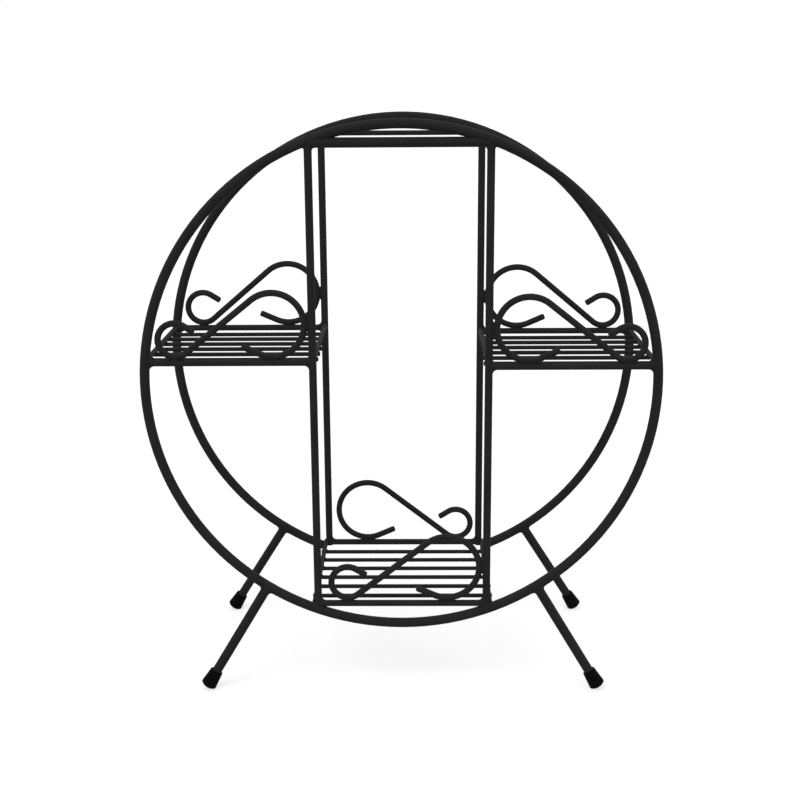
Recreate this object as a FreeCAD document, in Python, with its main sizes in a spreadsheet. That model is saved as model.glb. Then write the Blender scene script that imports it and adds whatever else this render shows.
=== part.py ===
import FreeCAD, Part
import math
import os
import re

import Sketcher
from FreeCAD import Rotation, Vector

# Round plant stand of welded steel bar: two rings, one behind the other, three wire shelves between them and
# four splayed legs on rubber feet. +X is right and +Z is up as seen from the front, +Y runs from the front
# frame to the rear frame, and the origin is on the floor under the middle of the rings.

# Driving dimensions: lengths in millimetres, slopes and places on the ring in degrees.
SIZES = {
    # Rings, measured to the middle of the bar
    "ring_radius": 310,
    "ring_bar": 12,
    "frame_spacing": 216,
    # Uprights, and the bars that tie them together at the top
    "upright_bar": 9.5,
    "upright_offset": 106,
    "front_top_bar": 12,
    "rear_top_bar": 6.5,
    "top_bar_drop": 2.8,
    # Shelves: rails in the two frames, spreaders between the frames, deck wires under the spreaders
    "rail_bar": 8,
    "left_shelf_rise": 28.5,
    "right_shelf_rise": 22.6,
    "bottom_shelf_rise": 8,
    "spreader_bar": 6,
    "bottom_spreader_shift": 4.5,
    "wire_bar": 5.3,
    "wire_count": 6,
    "wire_drop": 3.2,
    "wire_overhang": 1,
    # Scrolls
    "scroll_bar": 8,
    "side_front_big_loop_radius": 38.7,
    "side_rear_big_loop_radius": 40,
    "bottom_big_loop_radius": 40.5,
    "small_loop_radius": 20.5,
    "big_tail": 24,
    "big_tail_slope": 23.5,
    "small_tail": 15,
    "small_tail_slope": 32,
    "scroll_end_round": 2.3,
    "scroll_clearance": 0.5,
    "side_small_loop_gap": 2.5,
    "front_small_loop_gap": 8.3,
    "rear_big_loop_gap": 6,
    "rear_small_loop_gap": 3,
    # Legs
    "leg_bar": 12,
    "leg_height": 132,
    "leg_position": 33,
    "leg_lean": 31.5,
    "leg_splay": 7.5,
    # Rubber feet
    "foot_length": 25,
    "foot_top_diameter": 16,
    "foot_base_diameter": 20,
    "foot_dome_radius": 14.5,
    "foot_socket_depth": 18,
    "foot_clearance": 0.15,
    "foot_edge_round": 1.2,
    "foot_flat": 0.6,
    # Welded joints
    "cope_depth": 1.4,
    "weld_sink": 0.4,
    "weld_bulge": 2.2,
}

FRAMES = {"front": -1, "rear": 1}
SIDES = {"left": -1, "right": 1}

# Places that several pieces share, as formulas in the driving dimensions. The legs carry the rings.
RING_Z = "(leg_height + ring_radius * cos(leg_position))"
CROSSING = "sqrt(ring_radius ^ 2 - upright_offset ^ 2)"
INNER_CROSSING = "sqrt((ring_radius - ring_bar / 2) ^ 2 - upright_offset ^ 2)"
TOP_BAR_Z = f"({RING_Z} + {CROSSING} - top_bar_drop)"
BOTTOM_RAIL_Z = f"({RING_Z} - {CROSSING} + bottom_shelf_rise)"
REAR_UPRIGHT_END = f"({BOTTOM_RAIL_Z} - rail_bar / 2)"
SPREADER_RISE = "(spreader_bar / 2 + wire_bar / 2 - weld_sink - wire_drop)"
SCROLL_SEAT = "(rail_bar / 2 + scroll_bar / 2 - weld_sink)"
UPRIGHT_FACE = "(upright_offset - upright_bar / 2)"
UPRIGHT_BACK = "(upright_offset + upright_bar / 2)"

# How a bar that starts out along +Z is turned.
TURNS = {
    "+x": Rotation(Vector(0, 1, 0), 90),
    "+y": Rotation(Vector(1, 0, 0), -90),
    "+z": Rotation(),
}
HALF_TURN = Rotation(Vector(0, 0, 1), 180)

doc = FreeCAD.newDocument("plant_stand")
sheet = doc.addObject("Spreadsheet::Sheet", "Sizes")
for row, (alias, number) in enumerate(SIZES.items(), start=1):
    sheet.set(f"A{row}", alias)
    sheet.set(f"B{row}", str(number))
    sheet.setAlias(f"B{row}", alias)
doc.recompute()

pieces = {}


def sized(formula):
    """Point the size names in a formula at the sheet's cells."""
    return re.sub(r"[a-z]+(?:_[a-z]+)+", r"Sizes.\g<0>", str(formula))


def value(formula):
    """Work out a formula's present value."""
    return float(sheet.evalExpression(sized(formula)))


def bind(item, formulas):
    """Tie an object's properties to the sheet."""
    for name, formula in formulas.items():
        item.setExpression(name, sized(formula))


def place(item, x, y, z):
    """Tie an object's position to the sheet and keep its turn."""
    bind(item, {"Placement.Base.x": x, "Placement.Base.y": y, "Placement.Base.z": z})


def keep(label, item):
    """Name a finished piece, so that it is written out."""
    item.Label = label
    pieces[label] = item
    return item


def bar(name, diameter, length, turn, x, y, z):
    """Lay a straight round bar from the point x, y, z along a direction."""
    rod = doc.addObject("Part::Cylinder", name)
    rod.Placement.Rotation = TURNS[turn]
    bind(rod, {"Radius": f"{diameter} / 2", "Height": length})
    place(rod, x, y, z)
    return rod


def cope(blank, *members):
    """Cut a piece away where it meets the members that it is welded to."""
    for member in members:
        cut = doc.addObject("Part::Cut", f"{blank.Name}_coped")
        cut.Base = blank
        cut.Tool = member
        blank = cut
    return blank


def together(name, members):
    """Gather pieces that don't touch each other, to cut with them or to name them at once."""
    group = doc.addObject("Part::Compound", name)
    group.Links = list(members)
    return group


def sketch_on(body, name, role):
    """Start a sketch on one of a body's own origin planes."""
    sketch = body.newObject("Sketcher::SketchObject", name)
    plane = next(item for item in body.Origin.OriginFeatures if item.Role == role)
    sketch.AttachmentSupport = (plane, [""])
    sketch.MapMode = "FlatFace"
    return sketch


def dimension(sketch, name, formula, kind, *where):
    """Add a named constraint that follows a formula."""
    start = value(formula)
    if kind == "Angle":
        start = math.radians(start)
    index = sketch.addConstraint(Sketcher.Constraint(kind, *where, start))
    sketch.renameConstraint(index, name)
    sketch.setExpression(f"Constraints.{name}", sized(formula))


def frame_y(frame):
    """Give the y of the front or rear frame's plane."""
    return f"{FRAMES[frame]} * frame_spacing / 2"


def side_rail_z(hand):
    """Height of a side shelf's rails."""
    return f"({RING_Z} + {hand}_shelf_rise)"


def ring(name, frame, diameter, sweep):
    """Turn a ring's bar about the frame's axis, evenly to both sides of the ring's top."""
    body = doc.addObject("PartDesign::Body", name)
    section = sketch_on(body, f"{name}_section", "YZ_Plane")
    middle = Vector(0, value("ring_radius"), 0)
    section.addGeometry(Part.Circle(middle, Vector(0, 0, 1), value(diameter) / 2))
    section.addConstraint(Sketcher.Constraint("PointOnObject", 0, 3, -2))
    dimension(section, "middle_height", "ring_radius", "DistanceY", -1, 1, 0, 3)
    dimension(section, "bar_diameter", diameter, "Diameter", 0)
    turned = body.newObject("PartDesign::Revolution", f"{name}_turned")
    turned.Profile = section
    turned.ReferenceAxis = (section, ["H_Axis"])
    turned.Midplane = True
    bind(turned, {"Angle": sweep})
    place(body, 0, frame_y(frame), RING_Z)
    return body


def upright(name, frame, hand, low_z, high_z):
    """Stand an upright's bar between two heights."""
    x = f"{SIDES[hand]} * upright_offset"
    return bar(name, "upright_bar", f"{high_z} - {low_z}", "+z", x, frame_y(frame), low_z)


def make_rings_and_uprights():
    """Build the rings and uprights.

    The front ring is closed and both ends of its uprights are coped to it. The rear ring is open at the
    bottom: there its ends are coped to the outer faces of the rear uprights, which end flush with the
    underside of the bottom rail.
    """
    opening = f"2 * asin(({UPRIGHT_BACK} - cope_depth) / ring_radius)"
    rings = {"front": keep("front_ring", ring("front_ring_body", "front", "ring_bar", "360"))}
    rear_blank = ring("rear_ring_body", "rear", "ring_bar", f"360 deg - {opening}")
    rear_top = ring("rear_ring_top_half", "rear", "ring_bar", "180")
    top_z = f"({RING_Z} + {CROSSING})"
    uprights = {}
    faces = []
    for hand in SIDES:
        for frame, member, low_z in (
            ("front", rings["front"], f"({RING_Z} - {CROSSING})"),
            ("rear", rear_top, REAR_UPRIGHT_END),
        ):
            label = f"{frame}_{hand}_upright"
            blank = upright(f"{label}_bar", frame, hand, low_z, top_z)
            uprights[frame, hand] = keep(label, cope(blank, member))
        faces.append(upright(f"rear_{hand}_ring_end", "rear", hand, f"({RING_Z} - ring_radius)", RING_Z))
    rings["rear"] = keep("rear_ring", cope(rear_blank, *faces))
    return rings, uprights


def make_top_bars(rings, uprights):
    """Tie the two uprights of each frame together close under the ring's top."""
    reach = f"({UPRIGHT_FACE} + cope_depth)"
    for frame in FRAMES:
        label = f"{frame}_top_bar"
        blank = bar(f"{label}_bar", label, f"2 * {reach}", "+x", f"-{reach}", frame_y(frame), TOP_BAR_Z)
        keep(label, cope(blank, rings[frame], uprights[frame, "left"], uprights[frame, "right"]))


def make_side_rails(hand, rings, uprights):
    """Run a side shelf's two rails from the ring to the upright."""
    ring_x = f"sqrt(ring_radius ^ 2 - {hand}_shelf_rise ^ 2)"
    start = {"left": f"-{ring_x}", "right": "upright_offset"}[hand]
    rails = {}
    for frame in FRAMES:
        label = f"{hand}_shelf_{frame}_rail"
        length = f"{ring_x} - upright_offset"
        blank = bar(f"{label}_bar", "rail_bar", length, "+x", start, frame_y(frame), side_rail_z(hand))
        rails[frame] = keep(label, cope(blank, rings[frame], uprights[frame, hand]))
    return rails


def make_bottom_rails(rings, uprights):
    """Run the bottom shelf's two rails between the uprights, close over the ring's lowest part."""
    rails = {}
    for frame in FRAMES:
        label = f"bottom_shelf_{frame}_rail"
        blank = bar(
            f"{label}_bar", "rail_bar", "2 * upright_offset", "+x",
            "-upright_offset", frame_y(frame), BOTTOM_RAIL_Z,
        )
        members = [uprights[frame, "left"], uprights[frame, "right"]]
        if frame == "front":
            members.append(rings["front"])
        rails[frame] = keep(label, cope(blank, *members))
    return rails


def make_spreader(label, x, rail_z, members):
    """Run a spreader from the front frame to the rear frame."""
    blank = bar(
        f"{label}_bar", "spreader_bar", "frame_spacing", "+y",
        x, frame_y("front"), f"{rail_z} + {SPREADER_RISE}",
    )
    return keep(label, cope(blank, *members))


def make_wires(shelf, low_x, high_x, rail_z, spreaders):
    """Hang a shelf's deck wires under its spreaders, evenly spaced between the rails."""
    beyond = "(spreader_bar / 2 + wire_overhang)"
    for number in range(1, SIZES["wire_count"] + 1):
        label = f"{shelf}_shelf_wire_{number}"
        blank = bar(
            f"{label}_bar", "wire_bar", f"{high_x} - {low_x} + 2 * {beyond}", "+x",
            f"{low_x} - {beyond}",
            f"frame_spacing * ({number} / (wire_count + 1) - 1 / 2)",
            f"{rail_z} - wire_drop",
        )
        keep(label, cope(blank, spreaders))


def scroll(name, big_radius, pitch, turned_round, x, frame, rail_z):
    """Bend one scroll rod: a short tail, the big loop, a straight, the small loop and a shorter tail.

    In the scroll's own frame the big loop stands over the origin, the small loop stands to its right at the
    pitch, and the middle of the rod is at height zero under both loops. The straight is the inner common
    tangent of the two loops, so its slope follows from the radii and the pitch.
    """
    big = value(big_radius)
    small = value("small_loop_radius")
    span = value(pitch)
    apart = math.hypot(span, big - small)
    slope = math.atan2(big - small, span) + math.asin((big + small) / apart)
    big_slope = math.radians(value("big_tail_slope"))
    small_slope = math.radians(value("small_tail_slope"))
    quarter = math.pi / 2

    def on_loop(centre, radius, angle):
        return centre + Vector(math.cos(angle), math.sin(angle), 0) * radius

    def along(angle, length):
        return Vector(math.cos(angle), math.sin(angle), 0) * length

    big_centre = Vector(0, big, 0)
    small_centre = Vector(span, small, 0)
    big_foot = on_loop(big_centre, big, big_slope - quarter)
    small_head = on_loop(small_centre, small, small_slope + quarter)
    normal = Vector(0, 0, 1)

    body = doc.addObject("PartDesign::Body", f"{name}_body")
    path = sketch_on(body, f"{name}_path", "XZ_Plane")
    path.addGeometry([
        Part.LineSegment(big_foot, big_foot + along(big_slope, value("big_tail"))),
        Part.ArcOfCircle(Part.Circle(big_centre, normal, big), quarter - slope, 3 * quarter + big_slope),
        Part.LineSegment(
            on_loop(big_centre, big, quarter - slope),
            on_loop(small_centre, small, 3 * quarter - slope),
        ),
        Part.ArcOfCircle(
            Part.Circle(small_centre, normal, small), 3 * quarter - slope, 5 * quarter + small_slope,
        ),
        Part.LineSegment(small_head - along(small_slope, value("small_tail")), small_head),
    ])
    big_tail, big_loop, straight, small_loop, small_tail = range(5)
    start, end, centre = 1, 2, 3
    origin, upright_axis = -1, -2
    for first, first_end, second, second_end in (
        (big_tail, start, big_loop, end),
        (big_loop, start, straight, start),
        (straight, end, small_loop, start),
        (small_loop, end, small_tail, end),
    ):
        path.addConstraint(Sketcher.Constraint("Tangent", first, first_end, second, second_end))
    path.addConstraint(Sketcher.Constraint("PointOnObject", big_loop, centre, upright_axis))
    dimension(path, "big_radius", big_radius, "Radius", big_loop)
    dimension(path, "small_radius", "small_loop_radius", "Radius", small_loop)
    dimension(path, "big_height", big_radius, "DistanceY", origin, start, big_loop, centre)
    dimension(path, "small_height", "small_loop_radius", "DistanceY", origin, start, small_loop, centre)
    dimension(path, "pitch", pitch, "DistanceX", origin, start, small_loop, centre)
    dimension(path, "big_tail_length", "big_tail", "Distance", big_tail)
    dimension(path, "small_tail_length", "small_tail", "Distance", small_tail)
    dimension(path, "big_tail_angle", "big_tail_slope", "Angle", big_tail)
    dimension(path, "small_tail_angle", "small_tail_slope", "Angle", small_tail)

    section = body.newObject("Sketcher::SketchObject", f"{name}_section")
    section.AttachmentSupport = (path, ["Edge1"])
    section.MapMode = "NormalToEdge"
    section.MapPathParameter = 1
    section.addGeometry(Part.Circle(Vector(), normal, value("scroll_bar") / 2))
    section.addConstraint(Sketcher.Constraint("Coincident", 0, centre, origin, start))
    dimension(section, "bar_diameter", "scroll_bar", "Diameter", 0)

    bent = body.newObject("PartDesign::AdditivePipe", f"{name}_bent")
    bent.Profile = section
    bent.Spine = (path, [])
    doc.recompute()

    ends = [face.Edges[0] for face in bent.Shape.Faces if isinstance(face.Surface, Part.Plane)]
    names = [
        f"Edge{number}"
        for number, edge in enumerate(bent.Shape.Edges, start=1)
        if any(edge.isSame(rim) for rim in ends)
    ]
    rounded = body.newObject("PartDesign::Fillet", f"{name}_rounded")
    rounded.Base = (bent, names)
    bind(rounded, {"Radius": "scroll_end_round"})
    if turned_round:
        body.Placement.Rotation = HALF_TURN
    place(body, x, frame_y(frame), f"{rail_z} + {SCROLL_SEAT}")
    return body


def make_side_scrolls(hand, rails):
    """Stand a side shelf's scrolls on its rails, the big loop at the upright, the small one near the ring."""
    small_reach = "(ring_radius - ring_bar / 2 - side_small_loop_gap - scroll_bar / 2 - small_loop_radius)"
    small_rise = f"({hand}_shelf_rise + {SCROLL_SEAT} + small_loop_radius)"
    for frame in FRAMES:
        label = f"{hand}_shelf_{frame}_scroll"
        big_radius = f"side_{frame}_big_loop_radius"
        big_x = f"({UPRIGHT_BACK} + scroll_clearance + scroll_bar / 2 + {big_radius})"
        pitch = f"sqrt({small_reach} ^ 2 - {small_rise} ^ 2) - {big_x}"
        x = f"{SIDES[hand]} * {big_x}"
        body = scroll(label, big_radius, pitch, hand == "left", x, frame, side_rail_z(hand))
        keep(label, cope(body, rails[frame]))


def make_bottom_scrolls(rails):
    """Stand the bottom scrolls on their rails, the front one turned round against the rear one."""
    big_radius = "bottom_big_loop_radius"
    loops = f"(scroll_bar + {big_radius} + small_loop_radius)"
    for frame, big_gap, small_gap in (
        ("front", "scroll_clearance", "front_small_loop_gap"),
        ("rear", "rear_big_loop_gap", "rear_small_loop_gap"),
    ):
        label = f"bottom_shelf_{frame}_scroll"
        big_x = f"{FRAMES[frame]} * ({big_gap} + scroll_bar / 2 + {big_radius} - {UPRIGHT_FACE})"
        pitch = f"2 * {UPRIGHT_FACE} - {big_gap} - {small_gap} - {loops}"
        body = scroll(label, big_radius, pitch, frame == "front", big_x, frame, BOTTOM_RAIL_Z)
        keep(label, cope(body, rails[frame]))


def make_side_shelf(hand, rings, uprights):
    """Build a side shelf between the rings and the uprights of its side."""
    rails = make_side_rails(hand, rings, uprights)
    way = SIDES[hand]
    rail_z = side_rail_z(hand)
    outer_x = f"{way} * sqrt(ring_radius ^ 2 - ({hand}_shelf_rise + {SPREADER_RISE}) ^ 2)"
    inner_x = f"{way} * upright_offset"
    ends = list(rails.values())
    outer_members = [rings["front"], rings["rear"], *ends]
    inner_members = [uprights["front", hand], uprights["rear", hand], *ends]
    outer = make_spreader(f"{hand}_shelf_outer_spreader", outer_x, rail_z, outer_members)
    inner = make_spreader(f"{hand}_shelf_inner_spreader", inner_x, rail_z, inner_members)
    low_x, high_x = {"left": (outer_x, inner_x), "right": (inner_x, outer_x)}[hand]
    spreaders = together(f"{hand}_shelf_spreaders", (outer, inner))
    make_wires(hand, low_x, high_x, rail_z, spreaders)
    make_side_scrolls(hand, rails)


def make_bottom_shelf(rings, uprights):
    """Build the bottom shelf between the lower ends of the uprights."""
    rails = make_bottom_rails(rings, uprights)
    spreader_x = "(upright_offset + bottom_spreader_shift)"
    spreaders = []
    for hand, way in SIDES.items():
        members = [rings[frame] for frame in FRAMES]
        members += [uprights[frame, hand] for frame in FRAMES]
        members += list(rails.values())
        label = f"bottom_shelf_{hand}_spreader"
        spreaders.append(make_spreader(label, f"{way} * {spreader_x}", BOTTOM_RAIL_Z, members))
    spreaders = together("bottom_shelf_spreaders", spreaders)
    make_wires("bottom", f"-{spreader_x}", spreader_x, BOTTOM_RAIL_Z, spreaders)
    make_bottom_scrolls(rails)


# Legs: each leaves the ring's centreline at the leg position and leans out, sideways and fore or aft.
LEG_TOP_X = "ring_radius * sin(leg_position)"
LEG_STRETCH = "sqrt(1 + tan(leg_lean) ^ 2 + tan(leg_splay) ^ 2)"
DOME_Z = "(foot_dome_radius - foot_flat)"
SOCKET_FLOOR = "(foot_length - foot_dome_radius - foot_socket_depth)"
LEG_END_Z = f"({DOME_Z} + {SOCKET_FLOOR} / {LEG_STRETCH})"


def on_leg(hand, frame, height):
    """Give the point of a leg's axis at a height above the floor."""
    drop = f"(leg_height - {height})"
    x = f"{SIDES[hand]} * ({LEG_TOP_X} + {drop} * tan(leg_lean))"
    y = f"{FRAMES[frame]} * (frame_spacing / 2 + {drop} * tan(leg_splay))"
    return x, y, height


def lean(item, hand, frame, height):
    """Stand an object on a leg's axis at a height, turned along the leg."""
    x, y, z = on_leg(hand, frame, height)
    axis = f"vector({FRAMES[frame]} * tan(leg_splay); {-SIDES[hand]} * tan(leg_lean); 0)"
    tilt = "atan(hypot(tan(leg_lean); tan(leg_splay)))"
    bind(item, {"Placement": f"placement(vector({x}; {y}; {z}); rotation({axis}; {tilt}))"})


def make_leg(hand, frame, ring_piece):
    """Run a leg from the ring's underside down into the foot's socket."""
    label = f"{frame}_{hand}_leg"
    blank = doc.addObject("Part::Cylinder", f"{label}_bar")
    length = f"(leg_height - {LEG_END_Z}) * {LEG_STRETCH} - ring_bar / 2 + cope_depth"
    bind(blank, {"Radius": "leg_bar / 2", "Height": length})
    lean(blank, hand, frame, LEG_END_Z)
    return keep(label, cope(blank, ring_piece))


def make_foot(hand, frame):
    """Turn a rubber foot: a tapered cup with a domed base, pressed flat where it stands on the floor."""
    label = f"{frame}_{hand}_foot"
    body = doc.addObject("PartDesign::Body", f"{label}_body")
    profile = sketch_on(body, f"{label}_profile", "XZ_Plane")
    dome = value("foot_dome_radius")
    base = value("foot_base_diameter / 2")
    rim = value("foot_top_diameter / 2")
    bore = value("leg_bar / 2 + foot_clearance")
    top = value("foot_length - foot_dome_radius")
    floor = value(SOCKET_FLOOR)
    corner = Vector(base, -math.sqrt(dome ** 2 - base ** 2), 0)
    quarter = math.pi / 2
    points = [
        corner,
        Vector(rim, top, 0),
        Vector(bore, top, 0),
        Vector(bore, floor, 0),
        Vector(0, floor, 0),
        Vector(0, -dome, 0),
    ]
    for low, high in zip(points, points[1:]):
        profile.addGeometry(Part.LineSegment(low, high))
    circle = Part.Circle(Vector(), Vector(0, 0, 1), dome)
    profile.addGeometry(Part.ArcOfCircle(circle, -quarter, -math.acos(base / dome)))
    wall, lip, bore_side, socket_floor, axis_line, dome_arc = range(6)
    start, end, centre = 1, 2, 3
    origin, turning_axis = -1, -2
    lines = (wall, lip, bore_side, socket_floor, axis_line)
    for first, second in zip(lines, lines[1:]):
        profile.addConstraint(Sketcher.Constraint("Coincident", first, end, second, start))
    profile.addConstraint(Sketcher.Constraint("Coincident", axis_line, end, dome_arc, start))
    profile.addConstraint(Sketcher.Constraint("Coincident", dome_arc, end, wall, start))
    profile.addConstraint(Sketcher.Constraint("Coincident", dome_arc, centre, origin, start))
    profile.addConstraint(Sketcher.Constraint("PointOnObject", axis_line, start, turning_axis))
    profile.addConstraint(Sketcher.Constraint("PointOnObject", axis_line, end, turning_axis))
    profile.addConstraint(Sketcher.Constraint("Horizontal", lip))
    profile.addConstraint(Sketcher.Constraint("Vertical", bore_side))
    profile.addConstraint(Sketcher.Constraint("Horizontal", socket_floor))
    dimension(profile, "dome", "foot_dome_radius", "Radius", dome_arc)
    dimension(profile, "base", "foot_base_diameter / 2", "DistanceX", origin, start, wall, start)
    dimension(profile, "rim", "foot_top_diameter / 2", "DistanceX", origin, start, wall, end)
    dimension(profile, "rim_height", "foot_length - foot_dome_radius", "DistanceY", origin, start, wall, end)
    dimension(profile, "bore", "leg_bar / 2 + foot_clearance", "DistanceX", origin, start, bore_side, end)
    dimension(profile, "depth", "foot_socket_depth", "Distance", bore_side)
    cup = body.newObject("PartDesign::Revolution", f"{label}_cup")
    cup.Profile = profile
    cup.ReferenceAxis = (profile, ["V_Axis"])
    doc.recompute()

    widest_bore = math.tau * (bore + value("foot_clearance"))
    names = [
        f"Edge{number}"
        for number, edge in enumerate(cup.Shape.Edges, start=1)
        if edge.isClosed() and edge.Length > widest_bore
    ]
    rounded = body.newObject("PartDesign::Fillet", f"{label}_rounded")
    rounded.Base = (cup, names)
    bind(rounded, {"Radius": "foot_edge_round"})
    lean(body, hand, frame, DOME_Z)
    x, y, _ = on_leg(hand, frame, DOME_Z)
    ground = doc.addObject("Part::Box", f"{label}_ground")
    bind(ground, {"Length": "2 * foot_length", "Width": "2 * foot_length", "Height": "foot_length"})
    place(ground, f"{x} - foot_length", f"{y} - foot_length", "-foot_length")
    keep(label, cope(body, ground))


def make_legs(rings):
    """Build the four legs and their feet."""
    for frame in FRAMES:
        for hand in SIDES:
            make_leg(hand, frame, rings[frame])
            make_foot(hand, frame)


def weld(name, diameter, members, x, y, z):
    """Lay a weld bead on a joint: a ball a little wider than the bar, less the members that it joins."""
    ball = doc.addObject("Part::Sphere", name)
    bind(ball, {"Radius": f"{diameter} / 2 + weld_bulge"})
    place(ball, x, y, z)
    return cope(ball, *members)


def make_upright_welds(rings, uprights):
    """Weld the uprights to the rings, with the top bars and the bottom shelf in the same corners."""
    top_z = f"{RING_Z} + {INNER_CROSSING} - weld_bulge"
    bottom_zs = {
        "front": f"{RING_Z} - {INNER_CROSSING} + weld_bulge",
        "rear": f"{REAR_UPRIGHT_END} + upright_bar / 2 + weld_bulge",
    }
    beads = []
    for (frame, hand), piece in uprights.items():
        top_members = [pieces[f"{frame}_top_bar"]]
        bottom_members = [pieces[f"bottom_shelf_{frame}_rail"], pieces[f"bottom_shelf_{hand}_spreader"]]
        for level, z, others in (("top", top_z, top_members), ("bottom", bottom_zs[frame], bottom_members)):
            beads.append(weld(
                f"{frame}_{hand}_{level}_weld", "upright_bar", [rings[frame], piece, *others],
                f"{SIDES[hand]} * upright_offset", frame_y(frame), z,
            ))
    keep("upright_welds", together("upright_beads", beads))


def make_rail_welds(hand, rings, uprights):
    """Weld a side shelf's rails to the rings and the uprights."""
    shelf = f"{hand}_shelf"
    ring_face = f"sqrt((ring_radius - ring_bar / 2) ^ 2 - {hand}_shelf_rise ^ 2)"
    beads = []
    for frame in FRAMES:
        rail = pieces[f"{shelf}_{frame}_rail"]
        for end, x, members in (
            ("ring", ring_face, [rings[frame], rail, pieces[f"{shelf}_outer_spreader"]]),
            ("upright", UPRIGHT_BACK, [uprights[frame, hand], rail, pieces[f"{shelf}_inner_spreader"]]),
        ):
            beads.append(weld(
                f"{shelf}_{frame}_{end}_weld", "rail_bar", members,
                f"{SIDES[hand]} * {x}", frame_y(frame), side_rail_z(hand),
            ))
    keep(f"{shelf}_welds", together(f"{shelf}_beads", beads))


def make_leg_welds(rings):
    """Weld the legs to the undersides of the rings."""
    face_z = f"(leg_height - ring_bar / 2 / {LEG_STRETCH})"
    beads = []
    for frame in FRAMES:
        for hand in SIDES:
            members = [rings[frame], pieces[f"{frame}_{hand}_leg"]]
            beads.append(weld(f"{frame}_{hand}_leg_weld", "leg_bar", members, *on_leg(hand, frame, face_z)))
    keep("leg_welds", together("leg_beads", beads))


def check_and_write():
    """Stop if anything failed, then write each piece's solids."""
    doc.recompute()
    failed = [item.Name for item in doc.Objects if {"Invalid", "Error"} & set(item.State)]
    if failed:
        raise RuntimeError(f"failed: {failed}")
    for label, item in pieces.items():
        if item.Shape.isNull() or not item.Shape.isValid() or not item.Shape.Solids:
            raise RuntimeError(f"bad shape: {label}")
    os.makedirs("parts", exist_ok=True)
    for label, item in pieces.items():
        item.Shape.exportStep(f"parts/{label}.step")
        print(label, len(item.Shape.Solids), round(item.Shape.Volume))


rings, uprights = make_rings_and_uprights()
make_top_bars(rings, uprights)
for hand in SIDES:
    make_side_shelf(hand, rings, uprights)
make_bottom_shelf(rings, uprights)
make_legs(rings)
make_upright_welds(rings, uprights)
for hand in SIDES:
    make_rail_welds(hand, rings, uprights)
make_leg_welds(rings)
check_and_write()
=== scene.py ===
"""Looks of the round plant stand: finishes, weld fillets and small weld beads on the bars, and the studio.

The frame has +X to the right, +Y from the front ring to the rear ring and +Z up, in metres, with the floor
at zero height.
"""

import logging
import math
from abc import ABC, abstractmethod
from dataclasses import dataclass
from enum import Enum
from itertools import product

import bpy
import numpy as np
from mathutils import Matrix, Vector


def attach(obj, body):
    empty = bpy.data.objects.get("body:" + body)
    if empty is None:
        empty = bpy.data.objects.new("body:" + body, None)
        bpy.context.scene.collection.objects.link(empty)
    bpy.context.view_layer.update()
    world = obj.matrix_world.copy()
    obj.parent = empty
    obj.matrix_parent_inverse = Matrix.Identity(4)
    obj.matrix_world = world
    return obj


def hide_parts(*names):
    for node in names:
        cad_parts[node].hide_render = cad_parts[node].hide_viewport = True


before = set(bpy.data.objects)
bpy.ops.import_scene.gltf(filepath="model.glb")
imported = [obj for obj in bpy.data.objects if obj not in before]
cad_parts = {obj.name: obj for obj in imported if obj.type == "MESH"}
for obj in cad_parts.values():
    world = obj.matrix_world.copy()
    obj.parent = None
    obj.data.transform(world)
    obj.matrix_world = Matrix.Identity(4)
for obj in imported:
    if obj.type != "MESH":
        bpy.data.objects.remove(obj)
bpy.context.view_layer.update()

BODY = "root"
MM = 0.001
OPAQUE = 1.0

Triple = tuple[float, float, float]

log = logging.getLogger("plant_stand")


class Side(Enum):
    """A side of the stand, whose value is the sign of its coordinate."""

    @property
    def label(self) -> str:
        """The side's name in node names."""
        return self.name.lower()


class Hand(Side):
    """The left and the right side, with the sign of their x."""

    LEFT = -1
    RIGHT = 1


class Plane(Side):
    """The front and the rear frame, with the sign of their y."""

    FRONT = -1
    REAR = 1


class Level(Enum):
    """The two ends of an upright, with the sign of their height over the rings' middle."""

    UPPER = 1
    LOWER = -1


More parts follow.
